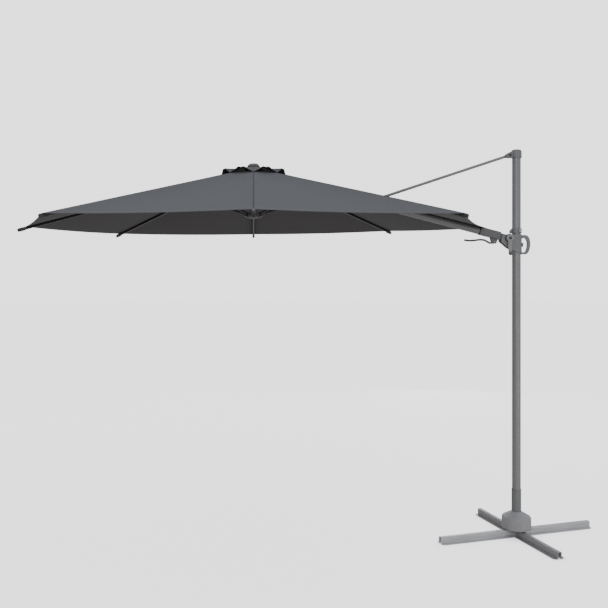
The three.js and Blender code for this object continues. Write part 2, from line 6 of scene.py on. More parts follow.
import bmesh
import bpy
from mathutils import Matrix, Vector


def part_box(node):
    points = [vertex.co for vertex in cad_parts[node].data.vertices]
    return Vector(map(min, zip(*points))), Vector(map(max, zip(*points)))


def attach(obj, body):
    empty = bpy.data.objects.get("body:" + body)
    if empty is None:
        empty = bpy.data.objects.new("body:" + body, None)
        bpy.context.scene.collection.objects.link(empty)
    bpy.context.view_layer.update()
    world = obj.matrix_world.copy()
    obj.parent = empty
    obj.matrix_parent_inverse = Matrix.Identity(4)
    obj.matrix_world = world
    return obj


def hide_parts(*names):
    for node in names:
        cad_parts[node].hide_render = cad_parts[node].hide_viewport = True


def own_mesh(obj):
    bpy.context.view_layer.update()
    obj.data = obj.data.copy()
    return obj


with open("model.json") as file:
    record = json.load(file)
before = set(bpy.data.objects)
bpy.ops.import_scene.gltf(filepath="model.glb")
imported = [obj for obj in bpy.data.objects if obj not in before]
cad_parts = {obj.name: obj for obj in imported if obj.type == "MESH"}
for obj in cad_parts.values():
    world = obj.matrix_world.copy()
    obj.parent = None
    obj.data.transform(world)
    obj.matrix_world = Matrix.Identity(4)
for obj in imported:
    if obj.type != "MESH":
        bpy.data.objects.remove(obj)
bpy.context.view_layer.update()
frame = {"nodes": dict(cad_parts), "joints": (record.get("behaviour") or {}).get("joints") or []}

# ---- What the frame says ----

JOINTS = {joint["name"]: joint for joint in frame["joints"]}


def joint_point(name):
    return Vector(JOINTS[name]["pos_m"])


def centre_of(node):
    low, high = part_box(node)
    return (low + high) / 2


RIB_COUNT = 8
RIB_TURN = 2 * math.pi / RIB_COUNT
CROWN = centre_of("crown_hub")
RUNNER = centre_of("runner_hub")
PIVOT_RADIUS = (joint_point("rib_4_fold") - CROWN).length
STRETCHER = (joint_point("stretcher_4_fold") - joint_point("rib_4_fold")).length


def rib_slope(number):
    """How steeply a rib falls, from its pivot and the pivot of its stretcher. Number 0 is the arm."""
    index = number % RIB_COUNT or RIB_COUNT // 2
    run = joint_point(f"stretcher_{index}_fold") - joint_point(f"rib_{index}_fold")
    return math.atan2(-run.z, math.hypot(run.x, run.y))


ARM_SLOPE = rib_slope(0)
RIB_END = 1.492
ARM_ROOT = joint_point("arm_raise")
STRUT_FOOT = joint_point("strut_swing")
STRUT_PIVOT = Vector((-0.045, 0, 2.419))  # where the strut hangs from the mast's cap
STRUT_PIVOT_HALF = 0.0211  # from the pivot's middle to the outside of the cap's cheek

# ---- Canopy sizes ----

FABRIC_CLEARANCE = 0.0101  # from the ribs' middle line up to the fabric
FABRIC_THICKNESS = 0.0011
CANOPY_INNER = 0.13
CANOPY_RADIUS = 1.47
# The corners that aren't at CANOPY_RADIUS.
CORNER_RADIUS = {0: 1.478, 1: 1.49, 4: 1.455, 5: 1.495, 7: 1.495}
GORE_SAG = 0.014
ARM_HEM_PULL = 0.02  # how far the hem curves in beside the arm
HEM_PULL = 0.003
HEM_SAG = 0.002
ARM_HEM_SAG = 0.006
HEM_WIDTH = 0.018
HEM_RISE = 0.0012  # the hem is folded over, so it is thicker
SEAM_RISE = 0.0011
SEAM_WIDTH = 0.006

# The slot in the fabric for the strut: its reach either way from the strut's foot, and half its width.
WINDOW_TO_CROWN = 0.036
WINDOW_TO_HEM = 0.06
WINDOW_HALF = 0.02
WINDOW_CUT_BELOW = 0.6  # the cutter spans the fabric's height there with room to spare
WINDOW_CUT_ABOVE = 0.1

FLAP_INNER = 0.058
FLAP_RADIUS = 0.207
FLAP_TOP = 0.0235
FLAP_CLEARANCE = 0.003  # from the fabric up to the flap's corners
FLAP_ARCH = 0.033  # rise of the flap's edge between two ribs


# ---- Mesh helpers ----

EDGE_WIDTH = 0.0008


def link(name, mesh):
    made = bpy.data.objects.new(name, mesh)
    bpy.context.scene.collection.objects.link(made)
    return made


def mesh_object(name, points, faces, materials, face_materials=None, smooth=True):
    mesh = bpy.data.meshes.new(name)
    mesh.from_pydata([tuple(p) for p in points], [], faces)
    for material in materials:
        mesh.materials.append(material)
    if face_materials:
        mesh.polygons.foreach_set("material_index", face_materials)
    mesh.polygons.foreach_set("use_smooth", [smooth] * len(mesh.polygons))
    mesh.update()
    return link(name, mesh)


def stacked_faces(levels, sides):
    """The faces of a closed body made of rings of points, one ring on another."""
    faces = []
    for level in range(levels - 1):
        for side in range(sides):
            a = level * sides + side
            b = level * sides + (side + 1) % sides
            faces.append((a, b, b + sides, a + sides))
    faces.append(tuple(reversed(range(sides))))
    last = (levels - 1) * sides
    faces.append(tuple(range(last, last + sides)))
    return faces


def turned(name, profile, place, axis, material, sides=32):
    """A solid of revolution from [radius, height] pairs, standing at place along axis."""
    turn = Vector((0, 0, 1)).rotation_difference(Vector(axis).normalized()).to_matrix()
    points = []
    for radius, height in profile:
        for side in range(sides):
            angle = 2 * math.pi * side / sides
            ring_point = Vector((radius * math.cos(angle), radius * math.sin(angle), height))
            points.append(Vector(place) + turn @ ring_point)
    made = mesh_object(name, points, stacked_faces(len(profile), sides), [material])
    smooth_by_angle(made, 35)
    return made


def smooth_by_angle(made, degrees):
    made.data.set_sharp_from_angle(angle=math.radians(degrees))


def joined(name, pieces):
    """The pieces as one object. Their meshes are already in place."""
    whole = bmesh.new()
    materials = []
    for piece in pieces:
        offset = len(materials)
        materials.extend(piece.data.materials)
        part = bmesh.new()
        part.from_mesh(piece.data)
        for face in part.faces:
            face.material_index += offset
        copy = bpy.data.meshes.new("part")
        part.to_mesh(copy)
        part.free()
        whole.from_mesh(copy)
        bpy.data.meshes.remove(copy)
    mesh = bpy.data.meshes.new(name)
    whole.to_mesh(mesh)
    whole.free()
    for material in materials:
        mesh.materials.append(material)
    for piece in pieces:
        bpy.data.objects.remove(piece)
    return link(name, mesh)


def break_edges(made):
    """Rounds the sharp edges a little, as paint and moulding do."""
    modifier = made.modifiers.new("edges", "BEVEL")
    modifier.width = EDGE_WIDTH
    modifier.segments = 2
    modifier.limit_method = "ANGLE"
    modifier.angle_limit = math.radians(30)
    modifier.harden_normals = True
    modifier.use_clamp_overlap = True


# ---- Materials ----


# Sockets of a colour Mix node, which has same-named sockets for its other data types.
MIX_FACTOR, MIX_FIRST, MIX_SECOND = 0, 6, 7
MIX_RESULT = 2


class Nodes:
    """A short way to add and wire the nodes of one material."""

    def __init__(self, name):
        self.material = bpy.data.materials.new(name)
        self.material.use_nodes = True
        self.tree = self.material.node_tree
        self.shader = self.tree.nodes["Principled BSDF"]

    def add(self, kind, inputs=None, **settings):
        made = self.tree.nodes.new(kind)
        for name, value in settings.items():
            setattr(made, name, value)
        for name, value in (inputs or {}).items():
            self.set(made, name, value)
        return made

    def set(self, made, name, value):
        socket = made.inputs[name]
        if isinstance(value, bpy.types.NodeSocket):
            self.tree.links.new(value, socket)
        else:
            socket.default_value = value

    def place(self, scale):
        """The piece's own coordinates, in metres times scale."""
        coordinates = self.add("ShaderNodeTexCoord").outputs["Object"]
        mapping = self.add("ShaderNodeMapping", {"Vector": coordinates, "Scale": scale})
        return mapping.outputs["Vector"]

    def noise(self, scale, detail=2.0, stretch=(1, 1, 1)):
        inputs = {"Vector": self.place(stretch), "Scale": scale, "Detail": detail}
        return self.add("ShaderNodeTexNoise", inputs).outputs["Fac"]

    def waves(self, scale, direction, stretch=(1, 1, 1)):
        inputs = {"Vector": self.place(stretch), "Scale": scale, "Distortion": 0.4, "Detail": 1.0}
        made = self.add("ShaderNodeTexWave", inputs, bands_direction=direction, wave_type="BANDS")
        return made.outputs["Fac"]

    def math(self, operation, a, b):
        return self.add("ShaderNodeMath", {0: a, 1: b}, operation=operation).outputs["Value"]

    def spread(self, value, low, high):
        """A value near 0.5 as one from low to high."""
        inputs = {"Value": value, "From Min": 0.3, "From Max": 0.7, "To Min": low, "To Max": high}
        return self.add("ShaderNodeMapRange", inputs).outputs["Result"]

    def colours(self, factor, dark, light):
        made = self.add("ShaderNodeMix", data_type="RGBA")
        self.set(made, MIX_FACTOR, factor)
        self.set(made, MIX_FIRST, (*dark, 1))
        self.set(made, MIX_SECOND, (*light, 1))
        return made.outputs[MIX_RESULT]

    def bump(self, height, distance, strength=1.0, under=None):
        inputs = {"Height": height, "Distance": distance, "Strength": strength}
        if under is not None:
            inputs["Normal"] = under
        return self.add("ShaderNodeBump", inputs).outputs["Normal"]

    def finish(self, colour, roughness, normal, metallic=0.0, specular=0.5):
        self.set(self.shader, "Base Color", colour)
        self.set(self.shader, "Roughness", roughness)
        self.set(self.shader, "Normal", normal)
        self.set(self.shader, "Metallic", metallic)
        self.set(self.shader, "Specular IOR Level", specular)
        return self.material


def shades(middle, spread):
    """A darker and a lighter colour, a share either side of the middle one."""
    dark = tuple(channel * (1 - spread) for channel in middle)
    light = tuple(channel * (1 + spread) for channel in middle)
    return dark, light


def powder_coat(name, colour, roughness=0.42, metallic=0.25):
    """Sprayed and baked paint: an even colour with a fine orange peel."""
    made = Nodes(name)
    cloud = made.noise(9.0, 3.0)
    peel = made.noise(900.0, 2.0)
    grain = made.noise(3200.0, 1.0)
    mixed = made.math("ADD", made.math("MULTIPLY", cloud, 0.6), made.math("MULTIPLY", grain, 0.4))
    base = made.colours(made.spread(mixed, 0.0, 1.0), *shades(colour, 0.07))
    rough = made.spread(made.noise(40.0, 3.0), roughness - 0.05, roughness + 0.06)
    normal = made.bump(peel, 0.0001, 0.25)
    return made.finish(base, rough, normal, metallic)


def rolled_metal(name, colour, roughness, contrast):
    """Painted rolled steel: fine streaks run along the beam."""
    made = Nodes(name)
    along = math.radians(16)
    coordinates = made.add("ShaderNodeTexCoord").outputs["Object"]
    turn = made.add("ShaderNodeMapping", {"Vector": coordinates, "Rotation": (0, 0, -along)})
    stretch = made.add("ShaderNodeMapping", {"Vector": turn.outputs["Vector"], "Scale": (1, 60, 60)})
    streak_inputs = {"Vector": stretch.outputs["Vector"], "Scale": 5.0, "Detail": 4.0}
    streak = made.add("ShaderNodeTexNoise", streak_inputs).outputs["Fac"]
    base = made.colours(made.spread(streak, 0.0, 1.0), *shades(colour, contrast))
    rough = made.spread(streak, roughness - 0.08, roughness + 0.1)
    normal = made.bump(streak, 0.0002, 0.4)
    return made.finish(base, rough, normal, 0.35)


def moulded_plastic(name, colour, roughness=0.5):
    """Moulded plastic with a fine spark-eroded grain."""
    made = Nodes(name)
    grain = made.noise(1500.0, 2.0)
    base = made.colours(made.spread(made.noise(25.0, 3.0), 0.0, 1.0), *shades(colour, 0.08))
    rough = made.spread(grain, roughness - 0.05, roughness + 0.08)
    return made.finish(base, rough, made.bump(grain, 0.0001, 0.6))


def bright_steel(name):
    made = Nodes(name)
    scratch = made.noise(300.0, 4.0, (1, 1, 6))
    base = made.colours(made.spread(scratch, 0.0, 1.0), (0.42, 0.42, 0.43), (0.62, 0.62, 0.63))
    rough = made.spread(scratch, 0.22, 0.38)
    return made.finish(base, rough, made.bump(scratch, 0.00005, 0.4), 0.95)


def woven(name, colour, roughness=0.85, thread=0.0011, sheen=0.08, slubs=0.10):
    """Plain weave: two crossing sets of threads, slubs in the yarn, and a soft sheen."""
    made = Nodes(name)
    scale = 1 / (20 * thread)
    warp = made.waves(scale, "X")
    weft = made.waves(scale, "Y")
    weave = made.math("MAXIMUM", warp, weft)
    slub = made.noise(220.0, 3.0, (1, 6, 1))
    cloud = made.noise(2.2, 4.0)
    mixed = made.math("ADD", made.math("MULTIPLY", slub, 0.55), made.math("MULTIPLY", cloud, 0.45))
    threads = made.math("ADD", made.math("MULTIPLY", weave, 0.25), made.math("MULTIPLY", mixed, 0.75))
    base = made.colours(made.spread(threads, 0.0, 1.0), *shades(colour, slubs))
    rough = made.spread(slub, roughness - 0.05, roughness + 0.07)
    normal = made.bump(cloud, 0.004, 0.25, made.bump(weave, 0.0003, 0.5))
    made.finish(base, rough, normal, 0.0, 0.12)
    made.shader.inputs["Sheen Weight"].default_value = sheen
    made.shader.inputs["Sheen Roughness"].default_value = 0.5
    return made.material


def stitched(name, colour, contrast):
    """Webbing or a sewn seam: close ribs and a dashed line of thread."""
    made = Nodes(name)
    ribs = made.waves(70.0, "DIAGONAL")
    stitch = made.waves(14.0, "DIAGONAL", (1, 1, 0.5))
    base = made.colours(made.spread(ribs, 0.0, 1.0), *shades(colour, contrast))
    normal = made.bump(stitch, 0.0006, 0.5, made.bump(ribs, 0.0003, 0.6))
    return made.finish(base, 0.8, normal, 0.0, 0.3)


MATERIALS = {
    "mast": powder_coat("mast_paint", (0.205, 0.207, 0.218)),
    "arm": powder_coat("arm_paint", (0.19, 0.188, 0.2)),
    "castings": powder_coat("casting_paint", (0.165, 0.167, 0.172), 0.5, 0.15),
    "slider": powder_coat("slider_paint", (0.17, 0.172, 0.176), 0.5, 0.15),
    "crank": powder_coat("crank_paint", (0.225, 0.228, 0.232), 0.45, 0.2),
    "bracket": powder_coat("bracket_paint", (0.11, 0.11, 0.116), 0.45, 0.2),
    # The two beam colours are one paint. The long beam's is made lighter for the light on its front faces
    # (painted light), and the short beams' darker for the shade on their sides (painted shade).
    "beam_paint_lit": rolled_metal("long_beam_painted_light", (0.46, 0.465, 0.48), 0.38, 0.3),
    "beam_paint_shaded": rolled_metal("short_beam_painted_shade", (0.29, 0.286, 0.295), 0.46, 0.12),
    "cover": moulded_plastic("cover_plastic", (0.25, 0.25, 0.257), 0.45),
    "ribs": powder_coat("rib_paint", (0.022, 0.022, 0.023), 0.32, 0.3),
    "black_plastic": moulded_plastic("black_plastic", (0.022, 0.022, 0.024)),
    "grey_plastic": moulded_plastic("grey_plastic", (0.09, 0.091, 0.096)),
    "dark_plastic": moulded_plastic("runner_plastic", (0.05, 0.05, 0.053)),
    "steel": bright_steel("bright_steel"),
    "fabric": woven("canopy_weave", (0.076, 0.079, 0.087)),
    # The underside is the same cloth as the top. Its darker, greyer colour stands in for the shade under the
    # canopy (painted shade).
    "underside": woven("canopy_underside_painted_shade", (0.057, 0.0545, 0.0565), 0.9, 0.0011, 0.05),
    "hem": stitched("canopy_hem", (0.08, 0.083, 0.091), 0.08),
    "seam": stitched("canopy_seam", (0.04, 0.042, 0.046), 0.2),
    "webbing": stitched("pocket_webbing", (0.035, 0.033, 0.035), 0.2),
}

NODE_MATERIALS = {
    "cross_beam_long": "beam_paint_lit",
    "cross_beam_front": "beam_paint_shaded",
    "cross_beam_rear": "beam_paint_shaded",
    "cross_tie_plate": "steel",
    "mast_foot": "castings",
    "base_cover": "cover",
    "foot_bush": "castings",
    "mast_tube": "mast",
    "mast_top_cap": "castings",
    "stop_collar": "castings",
    "collar_bolt": "steel",
    "slider_housing": "slider",
    "slider_liner": "black_plastic",
    "release_button": "slider",
    "arm_pivot_pin": "steel",
    "crank_arm": "crank",
    "crank_spindle": "steel",
    "crank_knob": "grey_plastic",
    "arm_bracket": "bracket",
    "arm_bush": "black_plastic",
    "swivel_collar": "bracket",
    "tilt_trigger": "grey_plastic",
    "trigger_pin": "steel",
    "arm_tube": "arm",
    "arm_end_ring": "black_plastic",
    "arm_spindle": "steel",
    "arm_tip": "black_plastic",
    "stretcher_saddle": "black_plastic",
    "strut_tube": "mast",
    "strut_lower_fork": "grey_plastic",
    "strut_upper_eye": "grey_plastic",
    "crown_hub": "black_plastic",
    "finial": "grey_plastic",
    "runner_hub": "dark_plastic",
    "arm_stretcher": "ribs",
}
for number in range(1, RIB_COUNT):
    NODE_MATERIALS[f"rib_{number}"] = "ribs"
    NODE_MATERIALS[f"stretcher_{number}"] = "ribs"
for number in range(1, 5):
    NODE_MATERIALS[f"foot_bolt_{number}"] = "steel"


def dress(name, material):
    """Gives a CAD node its material, joins its facets, and breaks its sharp edges."""
    node = frame["nodes"][name]
    node.data.materials.clear()
    node.data.materials.append(MATERIALS[material])
    node.data.polygons.foreach_set("use_smooth", [True] * len(node.data.polygons))
    if "custom_normal" in node.data.attributes:
        node.data.attributes.remove(node.data.attributes["custom_normal"])
    weld = node.modifiers.new("weld", "WELD")
    weld.merge_threshold = 1e-5
    flat = node.modifiers.new("flat_faces", "DECIMATE")
    flat.decimate_type = "DISSOLVE"
    flat.angle_limit = math.radians(0.6)
    break_edges(node)


def dress_nodes():
    for name, material in NODE_MATERIALS.items():
        dress(name, material)


# ---- Canopy: rib-centred sectors of one continuous sheet ----


def azimuth(number):
    return number * RIB_TURN


def outward(number):
    return Vector((math.cos(azimuth(number)), math.sin(azimuth(number)), 0))


def across(number):
    return Vector((-math.sin(azimuth(number)), math.cos(azimuth(number)), 0))


def along_rib(number):
    slope = rib_slope(number)
    return outward(number) * math.cos(slope) - Vector((0, 0, math.sin(slope)))


def above_rib(number):
    slope = rib_slope(number)
    return outward(number) * math.sin(slope) + Vector((0, 0, math.cos(slope)))


def rib_pivot(number):
    return CROWN + outward(number) * PIVOT_RADIUS


def rib_body(number):
    return "arm" if number % RIB_COUNT == 0 else f"rib_{number % RIB_COUNT}"


def corner_radius(number):
    return CORNER_RADIUS.get(number % RIB_COUNT, CANOPY_RADIUS)


def fabric_height(number, radius):
    return FABRIC_CLEARANCE - (radius - PIVOT_RADIUS) * math.tan(rib_slope(number))


def ridge(number, share):
    """A point of the fabric's underside over a rib, from the inner edge at share 0 to the hem at 1."""
    outer = corner_radius(number)
    radius = CANOPY_INNER + (outer - CANOPY_INNER) * share
    return CROWN + outward(number) * radius + Vector((0, 0, fabric_height(number, radius)))


def gore_point(number, turn, share):
    """A point of the gore between rib number and the next. Turn goes from 0 at the first rib to 1."""
    flat = ridge(number, share) * (1 - turn) + ridge(number + 1, share) * turn
    arch = 4 * turn * (1 - turn)
    beside_arm = number % RIB_COUNT in (0, RIB_COUNT - 1)
    pull = (ARM_HEM_PULL if beside_arm else HEM_PULL) * arch * share**5
    drop = GORE_SAG * arch * math.sin(math.pi * min(1, share * 0.86))
    drop += (ARM_HEM_SAG if beside_arm else HEM_SAG) * arch * share**8
    middle = azimuth(number % RIB_COUNT) + RIB_TURN / 2
    inward = Vector((-math.cos(middle), -math.sin(middle), math.tan(ARM_SLOPE)))
    return flat + inward * pull - Vector((0, 0, drop))


def seam_turn(share):
    """The turn that is half of the seam's width away from the rib."""
    radius = CANOPY_INNER + (CANOPY_RADIUS - CANOPY_INNER) * share
    return SEAM_WIDTH / 2 / (2 * radius * math.sin(RIB_TURN / 2))


def sector_point(number, turn, share):
    """A point of rib number's own sector. Turn goes from -0.5 to 0.5, and 0 is over the rib."""
    if turn < 0:
        return gore_point((number - 1) % RIB_COUNT, 1 + turn, share)
    return gore_point(number, turn, share)


def double_layer(name, grid, lift, rim, materials, face_material):
    """A closed sheet from a grid of underside points, each lifted by its thickness.

    rim is the index of its edges' material.
    """
    rows, columns = len(grid), len(grid[0])
    under = [point for row in grid for point in row]
    over = [grid[r][c] + Vector((0, 0, lift(r, c))) for r in range(rows) for c in range(columns)]
    count = rows * columns
    faces, indices = [], []

    def at(r, c):
        return r * columns + c

    def add(face, index):
        faces.append(face)
        indices.append(index)

    for r in range(rows - 1):
        for c in range(columns - 1):
            a, b, d, e = at(r, c), at(r + 1, c), at(r + 1, c + 1), at(r, c + 1)
            add((a, e, d, b), face_material(r, c, False))
            add((a + count, b + count, d + count, e + count), face_material(r, c, True))
    for r in range(rows - 1):
        a, b = at(r, 0), at(r + 1, 0)
        add((a, b, b + count, a + count), rim)
        a, b = at(r, columns - 1), at(r + 1, columns - 1)
        add((b, a, a + count, b + count), rim)
    for c in range(columns - 1):
        a, b = at(0, c), at(0, c + 1)
        add((b, a, a + count, b + count), rim)
        a, b = at(rows - 1, c), at(rows - 1, c + 1)
        add((a, b, b + count, a + count), rim)
    made = mesh_object(name, under + over, faces, materials, indices)
    smooth_by_angle(made, 40)
    return made


def webbing_sheet(name, grid, thickness):
    """A closed sheet of webbing that is equally thick all over."""
    webbing = [MATERIALS["webbing"]]
    return double_layer(name, grid, lambda r, c: thickness, 0, webbing, lambda r, c, outer: 0)


def spaced_turns(half_steps, share):
    """Places across a sector: a seam of even width over the rib, and even steps beside it."""
    seam = seam_turn(share)
    first = [seam * 0.8, seam]
    steps = [seam + (0.5 - seam) * step / half_steps for step in range(1, half_steps + 1)]
    side = first + steps
    return [-turn for turn in reversed(side)] + [0.0] + side


def spaced_shares(steps):
    """Places from the inner edge to the hem, with the hem's fold as the last band."""
    length = CANOPY_RADIUS - CANOPY_INNER
    fold = 1 - HEM_WIDTH / length
    return [fold * step / steps for step in range(steps + 1)] + [1 - 0.004 / length, 1.0]


def strut_window():
    """How far from the crown the fabric is open for the strut, in x, and half of the opening's width."""
    foot = STRUT_FOOT.x - CROWN.x
    return foot - WINDOW_TO_CROWN, foot + WINDOW_TO_HEM, WINDOW_HALF


def canopy_sector(number):
    shares = spaced_shares(30)
    grid = [[sector_point(number, turn, share) for turn in spaced_turns(14, share)] for share in shares]
    middle = len(grid[0]) // 2
    last = len(shares) - 1

    def lift(r, c):
        seam = SEAM_RISE if abs(c - middle) <= 1 else 0.0
        hem = HEM_RISE if r >= last - 1 else 0.0
        return FABRIC_THICKNESS + max(seam, hem)

    def material(r, c, outer):
        if r >= last - 2:
            return 2
        if outer and c in (middle - 2, middle - 1, middle, middle + 1):
            return 3
        return 0 if outer else 1

    kinds = [MATERIALS[kind] for kind in ("fabric", "underside", "hem", "seam")]
    made = double_layer(f"canopy_sector_{number}", grid, lift, 2, kinds, material)
    if number == 0:
        cut_window(made)
    return made


def cut_window(made):
    """Opens the sector over the arm where the strut's lug comes through."""
    start, end, half = strut_window()
    low = Vector((CROWN.x + start, -half, CROWN.z - WINDOW_CUT_BELOW))
    high = Vector((CROWN.x + end, half, CROWN.z + WINDOW_CUT_ABOVE))
    corners = [Vector((x, y, z)) for x in (low.x, high.x) for y in (low.y, high.y) for z in (low.z, high.z)]
    faces = [(0, 1, 3, 2), (4, 6, 7, 5), (0, 4, 5, 1), (2, 3, 7, 6), (0, 2, 6, 4), (1, 5, 7, 3)]
    cutter = mesh_object("cutter", corners, faces, [MATERIALS["hem"]], smooth=False)
    modifier = made.modifiers.new("window", "BOOLEAN")
    modifier.object = cutter
    modifier.operation = "DIFFERENCE"
    modifier.solver = "EXACT"
    bpy.context.view_layer.update()
    graph = bpy.context.evaluated_depsgraph_get()
    mesh = bpy.data.meshes.new_from_object(made.evaluated_get(graph))
    made.modifiers.clear()
    made.data = mesh
    bpy.data.objects.remove(cutter)


def gather(made, number):
    """The piece rides on a rib."""
    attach(made, rib_body(number))
    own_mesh(made)


def build_canopy():
    for number in range(RIB_COUNT):
        made = canopy_sector(number)
        gather(made, number)
    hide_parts("canopy")


# ---- Vent flap: held down at the ribs and arched between them ----


def flap_ridge(number, share):
    """A point of the flap over a rib, from the crown, with the collar at share 0 and the edge at 1."""
    radius = FLAP_INNER + (FLAP_RADIUS - FLAP_INNER) * share
    edge = fabric_height(number, FLAP_RADIUS) + FLAP_CLEARANCE
    return outward(number) * radius + Vector((0, 0, FLAP_TOP + (edge - FLAP_TOP) * share))


def flap_point(number, turn, share):
    first = number if turn >= 0 else number - 1
    part = turn if turn >= 0 else 1 + turn
    a = flap_ridge(first, share)
    b = flap_ridge(first + 1, share)
    arch = math.sin(math.pi * part) ** 1.3
    crease = 0.0035 * share**2 * math.sin(7 * math.pi * part) * math.sin(math.pi * part)
    flat = CROWN + a * (1 - part) + b * part
    middle = azimuth(first) + RIB_TURN / 2
    belly = Vector((math.cos(middle), math.sin(middle), 0)) * 0.010 * arch * share
    return flat + belly + Vector((0, 0, FLAP_ARCH * arch * share**1.4 + crease))


def flap_sector(number):
    turns = [step / 24 for step in range(-12, 13)]
    shares = [step / 10 * 0.92 for step in range(11)] + [0.985, 1.0]
    grid = [[flap_point(number, turn, share) for turn in turns] for share in shares]
    last = len(shares) - 1

    def lift(r, c):
        return FABRIC_THICKNESS + (HEM_RISE if r >= last - 1 else 0.0)

    def material(r, c, outer):
        if r >= last - 2:
            return 2
        return 0 if outer else 1

    kinds = [MATERIALS["fabric"], MATERIALS["underside"], MATERIALS["hem"]]
    return double_layer(f"vent_flap_sector_{number}", grid, lift, 2, kinds, material)


def build_vent_flap():
    for number in range(RIB_COUNT):
        made = flap_sector(number)
        gather(made, number)
    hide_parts("vent_flap")
    profile = [[0.016, 0.0195], [0.061, 0.0195], [0.063, 0.0215], [0.062, 0.0245], [0.016, 0.0258]]
    collar = turned("vent_flap_collar", profile, CROWN, (0, 0, 1), MATERIALS["webbing"], 48)
    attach(collar, "crown")


# ---- Details on the canopy and its frame ----

POCKET_LENGTH = 0.06
POCKET_WIDTH = 0.04  # half of the pocket's width, from the rib out


def rib_cap(number):
    """A moulded cap over the rib's end, with a rounded nose."""
    sections = [(-0.046, 0.0085, 0.0105), (-0.044, 0.0095, 0.0115), (-0.008, 0.0095, 0.0115)]
    sections += [(0.0005, 0.0088, 0.0105), (0.0045, 0.0062, 0.0072), (0.006, 0.002, 0.0024)]
    sides = 24
    points = []
    for offset, width, height in sections:
        centre = rib_pivot(number) + along_rib(number) * (RIB_END + offset)
        for side in range(sides):
            angle = 2 * math.pi * side / sides
            u = math.copysign(abs(math.cos(angle)) ** 0.55, math.cos(angle)) * width
            v = math.copysign(abs(math.sin(angle)) ** 0.55, math.sin(angle)) * height
            points.append(centre + across(number) * u + above_rib(number) * v)
    faces = []
    for level in range(len(sections) - 1):
        for side in range(sides):
            a = level * sides + side
            b = level * sides + (side + 1) % sides
            faces.append((a, a + sides, b + sides, b))
    faces.append(tuple(range(sides)))
    last = (len(sections) - 1) * sides
    faces.append(tuple(reversed(range(last, last + sides))))
    made = mesh_object(f"rib_cap_{number}", points, faces, [MATERIALS["black_plastic"]])
    smooth_by_angle(made, 40)
    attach(made, f"rib_{number}")


def corner_pocket(number):
    """The sewn pocket under a corner of the canopy that holds the rib's end."""
    length, width = POCKET_LENGTH, POCKET_WIDTH
    steps = 8
    grid = []
    for row in range(steps + 1):
        share = 1 - (length / (CANOPY_RADIUS - CANOPY_INNER)) * (1 - row / steps) - 0.012
        reach = width / 1.1 * (0.35 + 0.65 * row / steps)
        turns = [reach * (2 * c / 12 - 1) for c in range(13)]
        grid.append([sector_point(number, turn, share) - Vector((0, 0, 0.0014)) for turn in turns])
    made = webbing_sheet(f"corner_pocket_{number}", grid, 0.0012)
    gather(made, number)


def pin(name, place, axis, radius, length, material):
    """A domed rivet through a joint, with a head at each end."""
    half = length / 2
    dome = radius * 0.45
    crown = half + dome
    top = [[radius, half], [radius * 0.92, half + dome * 0.6], [radius * 0.5, crown], [0.0004, crown]]
    waist = [[radius * 0.55, -half + dome], [radius * 0.55, half - dome], [radius, half - dome]]
    bottom = [[0.0004, -half - dome], [radius * 0.5, -half - dome], [radius * 0.92, -half - dome * 0.6]]
    profile = bottom + [[radius, -half], [radius, -half + dome]] + waist + top
    return turned(name, profile, place, axis, material, 20)


def build_pivots():
    steel = MATERIALS["steel"]
    hub, runner = [], []
    for number in range(RIB_COUNT):
        hub.append(pin("pin", rib_pivot(number), across(number), 0.0022, 0.0126, steel))
        foot = RUNNER + outward(number) * PIVOT_RADIUS
        foot.z = CROWN.z - 2 * STRETCHER * math.sin(ARM_SLOPE)
        runner.append(pin("pin", foot, across(number), 0.002, 0.0088, steel))
        if number:
            place = rib_pivot(number) + along_rib(number) * STRETCHER
            rivet = pin(f"stretcher_rivet_{number}", place, across(number), 0.0032, 0.0196, steel)
            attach(rivet, f"rib_{number}")
    for name, pins, body in (("hub_pins", hub, "crown"), ("runner_pins", runner, "runner")):
        made = joined(name, pins)
        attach(made, body)


def screw_head(name, place, axis, radius, body, material="steel"):
    """A button head with a round socket."""
    height = 0.0035
    rim = [[radius, 0], [radius, height * 0.35], [radius * 0.86, height * 0.8], [radius * 0.55, height]]
    socket = [[radius * 0.46, height], [radius * 0.44, height * 0.35], [0.0003, height * 0.35]]
    made = turned(name, [[0.0003, 0]] + rim + socket, place, axis, MATERIALS[material], 24)
    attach(made, body)


def beside_arm_root(y):
    return Vector((ARM_ROOT.x, y, ARM_ROOT.z))


def build_strut_screws():
    """A screw in each cheek of the mast's cap, on the strut's pivot."""
    for name, side in (("near", -1), ("far", 1)):
        place = STRUT_PIVOT + Vector((0, side * STRUT_PIVOT_HALF, 0))
        screw_head(f"strut_pivot_screw_{name}", place, (0, side, 0), 0.008, "mast", "black_plastic")


def build_crank_screw():
    """The screw in front of the crank's boss, and a thin black ring behind the boss that stands in for the
    shadow round it (painted shadow).
    """
    boss_low, boss_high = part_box("crank_arm")
    place = beside_arm_root(boss_low.y - 0.0001)
    screw_head("crank_screw", place, (0, -1, 0), 0.0085, "crank", "black_plastic")
    # A thin black ring, wider than the boss, put behind it as the shadow that falls round the boss onto the
    # slider (painted shadow).
    painted_shadow_ring = [[0.0003, 0], [0.027, 0], [0.0275, 0.0005], [0.0003, 0.0005]]
    behind = beside_arm_root(boss_high.y + 0.0002)
    made = turned("crank_painted_shadow_ring", painted_shadow_ring, behind, (0, -1, 0), MATERIALS["black_plastic"], 40)
    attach(made, "slider")


def build_screws():
    build_strut_screws()
    build_crank_screw()
    pin_end = beside_arm_root(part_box("arm_pivot_pin")[1].y + 0.0001)
    screw_head("arm_pivot_screw", pin_end, (0, 1, 0), 0.0105, "slider")
    collar = centre_of("collar_bolt")
    facing = Vector((collar.x, collar.y, 0)).normalized()
    front = Vector((collar.x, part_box("collar_bolt")[0].y + 0.0004, collar.z))
    screw_head("collar_screw", front, facing, 0.0085, "mast")


